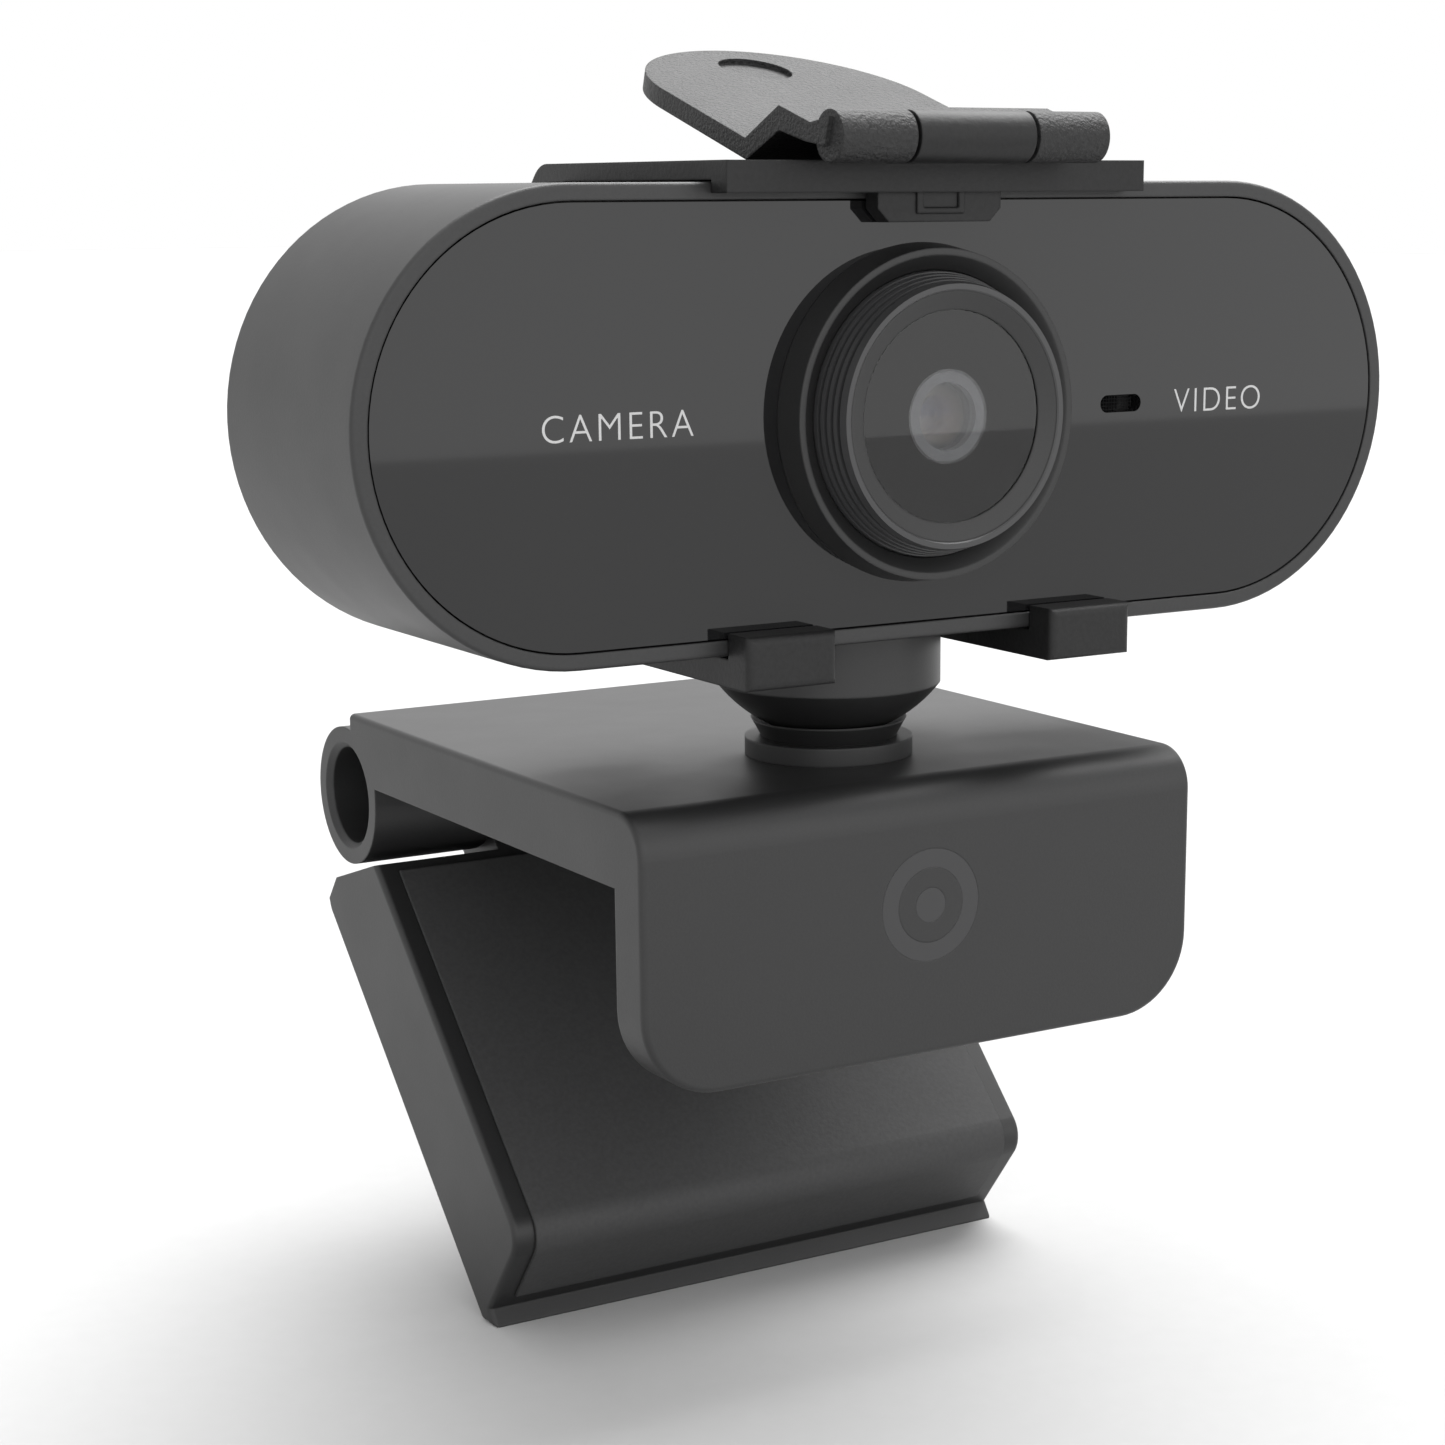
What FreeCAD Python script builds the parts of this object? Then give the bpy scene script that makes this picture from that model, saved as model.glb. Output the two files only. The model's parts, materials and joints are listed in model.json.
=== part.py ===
"""Clip-on webcam: an obround camera head with a snap-on privacy cover, on a neck that pans and tilts,
over a folding monitor clip.

Millimetres, +Z up. The camera looks along -Y and +X is to the right of someone facing its back.
The origin is on the lower face of the clip plate's rubber pad, the face that rests on a screen's top edge.
Each moving group is drawn in a frame of its own: the head's is at the centre of its front rim, the neck's
on the clip plate, the jaw's and the flap's on their hinge axes.
"""
import FreeCAD, Part
import os
import re
import Sketcher

SIZES = {
    "clip_width": 52.6, "plate_thickness": 6.1, "pad_proud": 0.5, "lip_face": -33.7, "lip_thickness": 4.2,
    "lip_height": 22.4, "lip_corner": 6.7, "lip_bend": 3.4, "plate_end": 20.8, "edge_round": 0.5,
    "hinge_back": 22.1, "hinge_drop": 1.1, "barrel_radius": 6.3, "barrel_bore": 4.4, "bore_depth": 7.5,
    "knuckle_half": 14.5, "knuckle_gap": 0.45, "sweep_gap": 0.45, "pin_radius": 2.0, "running_gap": 0.05,
    "cap_radius": 3.6, "cap_thickness": 2.2, "washer_radius": 5.4, "washer_thickness": 0.35,
    "jaw_lean": 45.0, "jaw_depth": 12.3, "jaw_front": 0.2, "jaw_reach": 47.9, "jaw_shoulder": 1.6,
    "jaw_rise": 1.3, "jaw_nose": 2.6, "foot_size": 1.9, "foot_drop": 1.7, "jaw_wall": 2.2,
    "jaw_plate_thickness": 1.6, "jaw_pad_inset": 2.0, "jaw_pad_thickness": 1.0, "jaw_pad_proud": 0.25,
    "lip_pad_width": 44.0, "lip_pad_height": 12.0, "lip_pad_thickness": 1.3, "lip_pad_proud": 0.6,
    "screen_pad_width": 40.0, "screen_pad_length": 22.0, "screen_pad_thickness": 1.2,
    "emblem_radius": 4.6, "emblem_width": 1.5, "emblem_depth": 0.5, "emblem_height": 10.0,
    "dot_radius": 1.4,
    "neck_from_lip": 15.3, "neck_height": 11.3, "flange_radius": 7.0, "flange_height": 1.57,
    "journal_radius": 5.65, "saddle_radius": 6.6, "saddle_height": 3.3, "dome_radius": 11.7,
    "dome_wall": 1.6, "dome_gap": 0.3, "tilt_rise": 1.9, "tilt_limit": 12.0, "cup_radius": 9.3,
    "cup_bore": 7.3, "collar_radius": 8.0, "snap_ring_width": 0.7, "stud_radius": 1.6, "slot_gap": 0.3,
    "stud_head_radius": 4.0, "stud_head_height": 1.8, "counterbore_radius": 5.2, "counterbore_depth": 3.2,
    "thrust_washer_radius": 4.6, "thrust_washer_thickness": 0.5, "swivel_washer_radius": 4.4,
    "swivel_washer_thickness": 1.6, "spring_height": 0.9, "spring_radius": 3.8, "nut_width": 5.5,
    "nut_height": 2.2, "stud_tip": 0.5,
    "housing_width": 95.0, "housing_height": 35.0, "housing_depth": 23.6, "neck_setback": 13.6,
    "shell_wall": 1.8, "rim_wall": 1.25, "rim_round": 0.35, "panel_gap": 0.15, "panel_inset": 0.1,
    "panel_thickness": 1.5, "gasket_thickness": 0.3, "gasket_width": 0.9, "rear_thickness": 3.8,
    "rear_inset": 1.0,
    "rear_round": 3.0, "rear_skin": 1.6, "spigot_depth": 1.0, "spigot_wall": 1.5, "spigot_gap": 0.1,
    "base_ring_width": 2.1, "base_ring_taper": 0.4, "base_ring_height": 2.65, "base_ring_lip": 0.5,
    "dish_depth": 0.85, "lens_hole_gap": 0.6, "lens_ring_radius": 10.9, "lens_ring_taper": 0.9,
    "lens_ring_height": 5.0, "taper_start": 1.9, "groove_depth": 0.3, "groove_width": 0.3,
    "groove_pitch": 0.62, "lens_ring_wall": 1.4, "bezel_width": 1.45, "window_seat": 0.6,
    "window_thickness": 0.8, "bezel_slope": 0.55, "mask_thickness": 0.5, "mask_hole": 3.6,
    "barrel_tip_radius": 3.4, "lens_radius": 2.6, "lens_barrel_radius": 6.0, "lens_barrel_length": 9.6,
    "holder_width": 15.0, "holder_depth": 5.6, "filter_width": 9.0, "filter_thickness": 0.3,
    "sensor_width": 8.0, "sensor_thickness": 0.9, "board_back": 9.2, "board_thickness": 1.2,
    "board_width": 60.0, "board_height": 24.0, "chassis_thickness": 1.5, "chassis_hole": 10.2,
    "post_radius": 2.4, "post_across": 27.0, "post_up": 9.0, "boss_radius": 2.8, "boss_across": 37.0,
    "boss_up": 7.0, "screw_radius": 1.0, "screw_head_radius": 1.9, "screw_head_height": 1.2,
    "screw_length": 5.0, "head_recess": 2.0, "mic_across": 19.5, "mic_slot_width": 4.1,
    "mic_slot_height": 1.4, "mic_boot_radius": 2.6, "mic_boot_bore": 0.9, "mic_can_width": 3.8,
    "mic_can_height": 1.1, "chip_width": 9.0, "chip_thickness": 1.1, "plug_width": 9.0,
    "plug_height": 5.0, "plug_depth": 4.6, "gland_drop": 8.0, "gland_radius": 3.0, "gland_flange": 4.2,
    "gland_reach": 4.5, "cable_radius": 1.9, "heat_pad_thickness": 1.6,
    "cover_shift": 0.4, "cover_width": 38.0, "cover_thickness": 1.4, "cover_gap": 0.15,
    "cover_overhang": 2.4, "cover_lip": 0.8, "strap_inner": 10.1, "strap_width": 7.9,
    "strap_thickness": 2.6, "arm_thickness": 2.2, "hook_reach": 3.2, "hook_height": 1.8,
    "tab_width": 11.2, "tab_gap": 1.5, "tab_thickness": 1.7, "cover_round": 0.6, "strap_bevel": 2.6,
    "strap_relief": 1.3,
    "flap_ahead": 5.2, "flap_rise": 3.2, "flap_knuckle": 1.9, "flap_pin": 0.8, "centre_knuckle": 5.17,
    "joint_gap": 0.35, "barrel_half": 12.0, "flap_angle": 17.3, "flap_thickness": 1.5,
    "flap_drop": 3.36, "flap_valley": 11.0, "flap_centre": 24.2, "flap_width": 24.6, "ridge_reach": 7.0,
    "ridge_height": 0.25, "dip_reach": 2.4, "dip_height": 0.3, "dimple_radius": 3.1,
    "dimple_depth": 0.45, "dimple_reach": 30.9,
}

GROOVES = 4
QUARTER = 90.0

doc = FreeCAD.newDocument("Webcam")
sheet = doc.addObject("Spreadsheet::Sheet", "Sizes")
for line, (alias, amount) in enumerate(SIZES.items(), start=1):
    sheet.set(f"A{line}", alias)
    sheet.set(f"B{line}", str(amount))
    sheet.setAlias(f"B{line}", alias)
probe = doc.addObject("App::FeaturePython", "Probe")
probe.addProperty("App::PropertyFloat", "Amount")
doc.recompute()

nodes = {}


def bound(words):
    """An expression on the sheet, written with bare size names, with each name pointed at its cell."""
    return re.sub(r"[a-z]\w*", lambda found: ("Sizes." if found[0] in SIZES else "") + found[0], words)


def value(words):
    """The number that an expression on the sheet comes to."""
    probe.setExpression("Amount", bound(words))
    probe.recompute()
    return probe.Amount


def bind(thing, where, words):
    thing.setExpression(where, bound(words))


# ---------------------------------------------------------------- frames
FRONT_Y = "lip_face + neck_from_lip - neck_setback"
PLATE_TOP = "pad_proud + plate_thickness"
HEAD_Z = "pad_proud + plate_thickness + neck_height + housing_height / 2"
FRAMES = {
    "clip": ("0", "0", "0", None),
    "neck": ("0", "lip_face + neck_from_lip", PLATE_TOP, None),
    "head": ("0", FRONT_Y, HEAD_Z, None),
    "cover": ("cover_shift", FRONT_Y, HEAD_Z, None),
    "jaw": ("0", "hinge_back", "0 - hinge_drop", "0 - jaw_lean"),
    "flap": (
        "cover_shift",
        FRONT_Y + " - flap_ahead",
        HEAD_Z + " + housing_height / 2 + flap_rise",
        "flap_angle",
    ),
}


def put(thing, frame):
    """Places a sub-part in one of the frames; a leaning frame turns about X."""
    across, back, up, turn = FRAMES[frame]
    if thing.Name.startswith("Raw"):
        thing = group(thing)
    if turn is not None:
        thing.Placement = FreeCAD.Placement(
            FreeCAD.Vector(), FreeCAD.Rotation(FreeCAD.Vector(1, 0, 0), value(turn))
        )
        bind(thing, "Placement.Rotation.Angle", turn)
    bind(thing, "Placement.Base.x", across)
    bind(thing, "Placement.Base.y", back)
    bind(thing, "Placement.Base.z", up)
    return thing


def node(name, thing):
    thing.Label = name
    nodes[name] = thing
    return thing


# ---------------------------------------------------------------- primitives
TURNS = {
    "X": FreeCAD.Rotation(FreeCAD.Vector(0, 1, 0), QUARTER),
    "Y": FreeCAD.Rotation(FreeCAD.Vector(1, 0, 0), -QUARTER),
    "Z": FreeCAD.Rotation(),
}


def primitive(kind, at, sizes, axis="Z"):
    thing = doc.addObject("Part::" + kind, "Raw" + kind)
    for name, words in sizes.items():
        bind(thing, name, words)
    thing.Placement.Rotation = TURNS[axis]
    for letter, words in zip("xyz", at):
        bind(thing, "Placement.Base." + letter, words)
    return thing


def cylinder(radius, length, at, axis="Z"):
    return primitive("Cylinder", at, {"Radius": radius, "Height": length}, axis)


def cone(base, top, length, at, axis="Z"):
    return primitive("Cone", at, {"Radius1": base, "Radius2": top, "Height": length}, axis)


def sphere(radius, at):
    return primitive("Sphere", at, {"Radius": radius})


def box(width, depth, height, at):
    """A box centred on X about at, starting at at's Y and Z."""
    corner = (f"{at[0]} - ( {width} ) / 2", at[1], at[2])
    return primitive("Box", corner, {"Length": width, "Width": depth, "Height": height})


def fuse(*things):
    result = doc.addObject("Part::MultiFuse", "Joined")
    result.Shapes = list(things)
    return result


def common(*things):
    result = doc.addObject("Part::MultiCommon", "Shared")
    result.Shapes = list(things)
    return result


def cut(base, *tools):
    result = doc.addObject("Part::Cut", "Trimmed")
    result.Base = base
    result.Tool = tools[0] if len(tools) == 1 else fuse(*tools)
    return result


def group(*things):
    result = doc.addObject("Part::Compound", "Group")
    result.Links = list(things)
    return result


def tube(outer, inner, length, at, axis="Z"):
    return cut(cylinder(outer, length, at, axis), cylinder(inner, length, at, axis))


# ---------------------------------------------------------------- sketched features
def new_body():
    return doc.addObject("PartDesign::Body", "Piece")


def sketch_on(body, plane, offset="0"):
    sketch = body.newObject("Sketcher::SketchObject", "Outline")
    support = next(item for item in body.Origin.OriginFeatures if item.Role == plane)
    sketch.AttachmentSupport = [(support, "")]
    sketch.MapMode = "FlatFace"
    bind(sketch, "AttachmentOffset.Base.z", offset)
    return sketch


def pin_point(sketch, edge, end, across, up):
    """Holds one end of an edge at a place given by two expressions."""
    for kind, words in (("DistanceX", across), ("DistanceY", up)):
        held = sketch.addConstraint(Sketcher.Constraint(kind, -1, 1, edge, end, value(words)))
        bind(sketch, f"Constraints[{held}]", words)


def add_polygon(sketch, corners):
    spots = [FreeCAD.Vector(value(across), value(up), 0) for across, up in corners]
    first = sketch.GeometryCount
    for here, there in zip(spots, spots[1:] + spots[:1]):
        sketch.addGeometry(Part.LineSegment(here, there))
    count = len(spots)
    for step in range(count):
        after = first + (step + 1) % count
        sketch.addConstraint(Sketcher.Constraint("Coincident", first + step, 2, after, 1))
    for step, (across, up) in enumerate(corners):
        pin_point(sketch, first + step, 1, across, up)


def add_circle(sketch, radius, across="0", up="0"):
    middle = FreeCAD.Vector(value(across), value(up), 0)
    edge = sketch.addGeometry(Part.Circle(middle, FreeCAD.Vector(0, 0, 1), value(radius)))
    held = sketch.addConstraint(Sketcher.Constraint("Radius", edge, value(radius)))
    bind(sketch, f"Constraints[{held}]", radius)
    pin_point(sketch, edge, 3, across, up)


def add_obround(sketch, width, height, across="0", up="0"):
    """Two half circles joined by straight lines, longer along the sketch's first axis."""
    half, radius = value(f"( {width} - ( {height} ) ) / 2"), value(f"( {height} ) / 2")
    middle, level = value(across), value(up)
    left = FreeCAD.Vector(middle - half, level, 0)
    right = FreeCAD.Vector(middle + half, level, 0)
    rise = FreeCAD.Vector(0, radius, 0)
    top = sketch.addGeometry(Part.LineSegment(left + rise, right + rise))
    low = sketch.addGeometry(Part.LineSegment(right - rise, left - rise))
    normal = FreeCAD.Vector(0, 0, 1)
    turn = FreeCAD.Units.parseQuantity("90 deg").getValueAs("rad").Value
    bow = sketch.addGeometry(Part.ArcOfCircle(Part.Circle(right, normal, radius), -turn, turn))
    tail = sketch.addGeometry(Part.ArcOfCircle(Part.Circle(left, normal, radius), turn, 3 * turn))
    for edge, end, arc, start in ((top, 2, bow, 2), (low, 1, bow, 1), (low, 2, tail, 2), (top, 1, tail, 1)):
        sketch.addConstraint(Sketcher.Constraint("Tangent", edge, end, arc, start))
    held = sketch.addConstraint(Sketcher.Constraint("Radius", bow, radius))
    bind(sketch, f"Constraints[{held}]", f"( {height} ) / 2")
    pin_point(sketch, bow, 3, f"{across} + ( {width} - ( {height} ) ) / 2", up)
    pin_point(sketch, tail, 3, f"{across} - ( {width} - ( {height} ) ) / 2", up)


def feature(body, kind, sketch, length=None, reverse=False, both=False):
    made = body.newObject("PartDesign::" + kind, kind)
    made.Profile = sketch
    if length is None:
        made.Type = "ThroughAll"
    else:
        bind(made, "Length", length)
    made.SideType = "Symmetric" if both else "One side"
    made.Reversed = reverse
    return made


def pad_x(body, corners, width, offset="0", both=True):
    """Pads an outline drawn in Y and Z along X."""
    sketch = sketch_on(body, "YZ_Plane", offset)
    add_polygon(sketch, corners)
    return feature(body, "Pad", sketch, width, both=both)


def slab(body, draw, front, depth, kind="Pad"):
    """Pads or pockets an outline drawn in X and Z, from Y = front towards +Y."""
    sketch = sketch_on(body, "XZ_Plane", f"0 - ( {front} )")
    draw(sketch)
    return feature(body, kind, sketch, depth, reverse=(kind == "Pad"))


def turned(corners):
    """A body turned about its frame's Y axis from an outline of radius and Y."""
    body = new_body()
    sketch = sketch_on(body, "XY_Plane")
    add_polygon(sketch, corners)
    spin = body.newObject("PartDesign::Revolution", "Turned")
    spin.Profile = sketch
    spin.ReferenceAxis = (sketch, ["V_Axis"])
    spin.Angle = 360
    return body


def soften(body, kind, size, chosen):
    """Rounds or bevels the edges of the body's tip that the test picks."""
    doc.recompute()
    tip = body.Tip
    names = [f"Edge{n}" for n, edge in enumerate(tip.Shape.Edges, start=1) if chosen(edge)]
    if not names:
        raise RuntimeError(f"no edge to soften on {body.Label}")
    made = body.newObject("PartDesign::" + kind, kind)
    made.Base = (tip, names)
    bind(made, "Radius" if kind == "Fillet" else "Size", size)
    doc.recompute()
    return made


def runs_along(edge, letter):
    """True for a straight edge parallel to an axis."""
    if edge.Curve.TypeId != "Part::GeomLine":
        return False
    return abs(getattr(edge.tangentAt(edge.FirstParameter), letter)) > 0.999


def near(amount, words):
    return abs(amount - value(words)) < 0.01


# ---------------------------------------------------------------- clip
def clip_bracket(tools):
    """The plate and front lip in one moulding, with a hinge barrel at the rear in two end knuckles."""
    body = new_body()
    lip_back = "lip_face + lip_thickness"
    lip_end = PLATE_TOP + " - lip_height"
    pad_x(
        body,
        [
            ("lip_face", PLATE_TOP),
            ("plate_end", PLATE_TOP),
            ("plate_end", "0 - hinge_drop"),
            ("hinge_back - barrel_radius", "0 - hinge_drop"),
            ("hinge_back - barrel_radius", "pad_proud"),
            (lip_back, "pad_proud"),
            (lip_back, lip_end),
            ("lip_face", lip_end),
        ],
        "clip_width",
    )
    soften(
        body, "Fillet", "lip_bend",
        lambda e: runs_along(e, "x") and near(e.CenterOfMass.y, "lip_face")
        and near(e.CenterOfMass.z, PLATE_TOP),
    )
    soften(
        body, "Fillet", "lip_corner",
        lambda e: runs_along(e, "y") and near(e.CenterOfMass.z, lip_end),
    )
    soften(
        body, "Fillet", "edge_round",
        lambda e: near(e.CenterOfMass.y, "lip_face") and near(e.CenterOfMass.z, lip_end),
    )
    sketch = sketch_on(body, "YZ_Plane")
    add_circle(sketch, "barrel_radius", "hinge_back", "0 - hinge_drop")
    feature(body, "Pad", sketch, "clip_width", both=True)
    sketch = sketch_on(body, "YZ_Plane")
    add_circle(sketch, "barrel_radius + sweep_gap", "hinge_back", "0 - hinge_drop")
    feature(body, "Pocket", sketch, "2 * knuckle_half", both=True)
    for side in (-1, 1):
        sketch = sketch_on(body, "YZ_Plane", f"{side} * clip_width / 2")
        add_circle(sketch, "barrel_bore", "hinge_back", "0 - hinge_drop")
        feature(body, "Pocket", sketch, "bore_depth", reverse=side < 0)
    sketch = sketch_on(body, "YZ_Plane")
    add_circle(sketch, "pin_radius", "hinge_back", "0 - hinge_drop")
    feature(body, "Pocket", sketch, "clip_width", both=True)
    sketch = sketch_on(body, "XY_Plane", "pad_proud")
    add_circle(sketch, "counterbore_radius", "0", "lip_face + neck_from_lip")
    feature(body, "Pocket", sketch, "counterbore_depth", reverse=True)
    sketch = sketch_on(body, "XY_Plane", PLATE_TOP)
    add_circle(sketch, "stud_radius + running_gap", "0", "lip_face + neck_from_lip")
    feature(body, "Pocket", sketch, "plate_thickness")
    soften(
        body, "Chamfer", "edge_round",
        lambda e: e.Curve.TypeId == "Part::GeomCircle" and near(e.Curve.Radius, "barrel_bore")
        and near(abs(e.CenterOfMass.x), "clip_width / 2"),
    )
    return node("clip_bracket", cut(body, *tools))


def clip_pads():
    lip_back = "lip_face + lip_thickness"
    lip_pad = box(
        "lip_pad_width", "lip_pad_thickness", "lip_pad_height",
        ("0", lip_back + " + lip_pad_proud - lip_pad_thickness", PLATE_TOP + " - lip_height + 2"),
    )
    screen_pad = box(
        "screen_pad_width", "screen_pad_length", "screen_pad_thickness",
        ("0", "0 - screen_pad_length / 2", "0"),
    )
    height = PLATE_TOP + " - emblem_height"
    ring = tube(
        "emblem_radius", "emblem_radius - emblem_width", "emblem_depth", ("0", "lip_face", height), "Y"
    )
    dot = cylinder("dot_radius", "emblem_depth", ("0", "lip_face", height), "Y")
    return node("lip_pad", lip_pad), node("screen_pad", screen_pad), node("lip_emblem", group(ring, dot))


def clip_hinge():
    inner = "( clip_width / 2 - bore_depth )"
    spot = ("hinge_back", "0 - hinge_drop")
    node(
        "hinge_pin",
        cylinder(
            "pin_radius", f"2 * {inner} + 2 * cap_thickness", (f"0 - {inner} - cap_thickness", *spot), "X"
        ),
    )
    caps = [
        cut(
            cylinder("cap_radius", "cap_thickness", (start, *spot), "X"),
            cylinder("pin_radius", "cap_thickness", (start, *spot), "X"),
        )
        for start in (inner, f"0 - {inner} - cap_thickness")
    ]
    node("hinge_caps", group(*caps))
    washers = [
        tube("washer_radius", "pin_radius", "washer_thickness", (start, *spot), "X")
        for start in ("knuckle_half - washer_thickness", "0 - knuckle_half")
    ]
    node("hinge_washers", group(*washers))


# ---------------------------------------------------------------- jaw
JAW_TOP = "0 - ( barrel_radius + jaw_shoulder )"


def jaw_parts():
    """The folding rear jaw, drawn hanging straight down from its hinge, front face to -Y."""
    rear = "jaw_depth - jaw_front"
    front = "0 - jaw_front"
    bottom = "0 - jaw_reach"
    outline = [
        (front, JAW_TOP),
        (front, bottom + " + jaw_rise"),
        (rear + " - foot_size - 0.3", bottom),
        (rear + " - foot_size", bottom + " - foot_drop"),
        (rear, bottom + " - foot_drop + foot_size"),
        (rear, "0 - barrel_radius + 0.7"),
        (rear + " - 0.8", "0 - barrel_radius + 2.5"),
        (rear + " - 3.8", "0 - barrel_radius + 2.8"),
    ]
    body = new_body()
    pad_x(body, outline, "clip_width")
    soften(
        body, "Fillet", "jaw_nose",
        lambda e: runs_along(e, "x") and near(e.CenterOfMass.y, front)
        and near(e.CenterOfMass.z, bottom + " + jaw_rise"),
    )
    sketch = sketch_on(body, "YZ_Plane")
    add_circle(sketch, "barrel_radius + sweep_gap", "0", "0")
    feature(body, "Pocket", sketch, "clip_width + 2", both=True)
    soften(
        body, "Fillet", "edge_round",
        lambda e: near(abs(e.CenterOfMass.x), "clip_width / 2") and e.CenterOfMass.z < -value(
            "barrel_radius + jaw_shoulder"
        ),
    )
    knuckle = new_body()
    sketch = sketch_on(knuckle, "YZ_Plane")
    add_circle(sketch, "barrel_radius", "0", "0")
    feature(knuckle, "Pad", sketch, "2 * knuckle_half - 2 * knuckle_gap", both=True)
    pad_x(
        knuckle,
        [
            (front, "0"),
            ("barrel_radius", "0"),
            ("barrel_radius", JAW_TOP + " - 1"),
            (front, JAW_TOP + " - 1"),
        ],
        "2 * knuckle_half - 2 * knuckle_gap",
    )
    hole = cylinder("pin_radius + running_gap", "clip_width", ("0 - clip_width / 2", "0", "0"), "X")
    hollow = new_body()
    pad_x(
        hollow,
        [
            (front + " + jaw_wall", JAW_TOP + " - 3.5"),
            (front + " + jaw_wall", bottom + " + jaw_rise + jaw_wall"),
            (rear, bottom + " + jaw_rise + jaw_wall"),
            (rear, JAW_TOP + " - 3.5"),
        ],
        "clip_width - 2 * jaw_wall - 2",
    )
    pad = new_body()
    pad_x(
        pad,
        [
            (front + " - jaw_pad_proud", JAW_TOP + " - 1"),
            (front + " - jaw_pad_proud", bottom + " + jaw_rise - jaw_pad_proud"),
            (rear + " - foot_size - 2", bottom + " - jaw_pad_proud + 0.2"),
            (rear + " - foot_size - 2", bottom + " - jaw_pad_proud + 0.2 + jaw_pad_thickness"),
            (
                front + " - jaw_pad_proud + jaw_pad_thickness",
                bottom + " + jaw_rise - jaw_pad_proud + jaw_pad_thickness",
            ),
            (front + " - jaw_pad_proud + jaw_pad_thickness", JAW_TOP + " - 1"),
        ],
        "clip_width - 2 * jaw_pad_inset",
    )
    soften(
        pad, "Fillet", "jaw_nose + jaw_pad_proud",
        lambda e: runs_along(e, "x") and near(e.CenterOfMass.y, front + " - jaw_pad_proud")
        and near(e.CenterOfMass.z, bottom + " + jaw_rise - jaw_pad_proud"),
    )
    soften(
        pad, "Fillet", "jaw_nose + jaw_pad_proud - jaw_pad_thickness",
        lambda e: runs_along(e, "x") and near(
            e.CenterOfMass.y, front + " - jaw_pad_proud + jaw_pad_thickness"
        )
        and near(e.CenterOfMass.z, bottom + " + jaw_rise - jaw_pad_proud + jaw_pad_thickness"),
    )
    back_plate = new_body()
    pad_x(
        back_plate,
        [
            (rear + " - jaw_plate_thickness", JAW_TOP + " - 3.5"),
            (rear + " - jaw_plate_thickness", bottom + " + jaw_rise + jaw_wall"),
            (rear, bottom + " + jaw_rise + jaw_wall"),
            (rear, JAW_TOP + " - 3.5"),
        ],
        "clip_width - 2 * jaw_wall - 2",
    )
    node("jaw_pad", put(pad, "jaw"))
    node("jaw_back_plate", put(back_plate, "jaw"))
    solid = put(cut(fuse(body, knuckle), hole, hollow), "jaw")
    node("rear_jaw", cut(solid, pad))


# ---------------------------------------------------------------- neck
TILT_Z = "neck_height + tilt_rise"


def neck_parts():
    """The swivel that turns on the plate; the head's dome rocks in the saddle's dish."""
    origin = ("0", "0", "0")
    flange = tube("flange_radius", "journal_radius + running_gap", "flange_height", origin)
    node("neck_flange", put(flange, "neck"))
    journal = cylinder("journal_radius", "flange_height - running_gap", ("0", "0", "running_gap"))
    flare = cone(
        "journal_radius", "saddle_radius", "saddle_height - flange_height", ("0", "0", "flange_height")
    )
    dish = sphere("dome_radius + dome_gap", ("0", "0", TILT_Z))
    through = cylinder("stud_radius", "saddle_height", origin)
    node("swivel_saddle", put(cut(fuse(journal, flare), dish, through), "neck"))
    washer_top = f"( {TILT_Z} - dome_radius + dome_wall + dome_gap + swivel_washer_thickness )"
    seat = "0 - plate_thickness + counterbore_depth"
    tip = washer_top + " + spring_height + nut_height + stud_tip"
    shank = cylinder(
        "stud_radius", f"{tip} - ( {seat} ) + thrust_washer_thickness",
        ("0", "0", seat + " - thrust_washer_thickness"),
    )
    head = cylinder(
        "stud_head_radius", "stud_head_height",
        ("0", "0", seat + " - thrust_washer_thickness - stud_head_height"),
    )
    drive = box(
        "1.2", "2 * stud_head_radius", "0.7",
        ("0", "0 - stud_head_radius", seat + " - thrust_washer_thickness - stud_head_height"),
    )
    node("pivot_stud", put(cut(fuse(shank, head), drive), "neck"))
    thrust = tube(
        "thrust_washer_radius", "stud_radius", "thrust_washer_thickness",
        ("0", "0", seat + " - thrust_washer_thickness"),
    )
    node("thrust_washer", put(thrust, "neck"))
    ball = sphere("dome_radius - dome_wall - dome_gap", ("0", "0", TILT_Z))
    ring = cut(
        cylinder("swivel_washer_radius", washer_top, origin),
        cylinder("stud_radius", washer_top, origin),
    )
    node("swivel_washer", put(common(ball, ring), "neck"))
    spring = cut(
        cone("spring_radius", "stud_radius + 0.8", "spring_height", ("0", "0", washer_top)),
        cone("spring_radius - 0.6", "stud_radius + 0.2", "spring_height - 0.4", ("0", "0", washer_top)),
        cylinder("stud_radius", "spring_height", ("0", "0", washer_top)),
    )
    node("disc_spring", put(spring, "neck"))
    nut_body = doc.addObject("Part::Prism", "NutBlank")
    nut_body.Polygon = 6
    bind(nut_body, "Circumradius", "nut_width / sqrt(3)")
    bind(nut_body, "Height", "nut_height")
    bind(nut_body, "Placement.Base.z", washer_top + " + spring_height")
    nut = cut(nut_body, cylinder("stud_radius", "nut_height", ("0", "0", washer_top + " + spring_height")))
    node("lock_nut", put(nut, "neck"))


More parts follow.
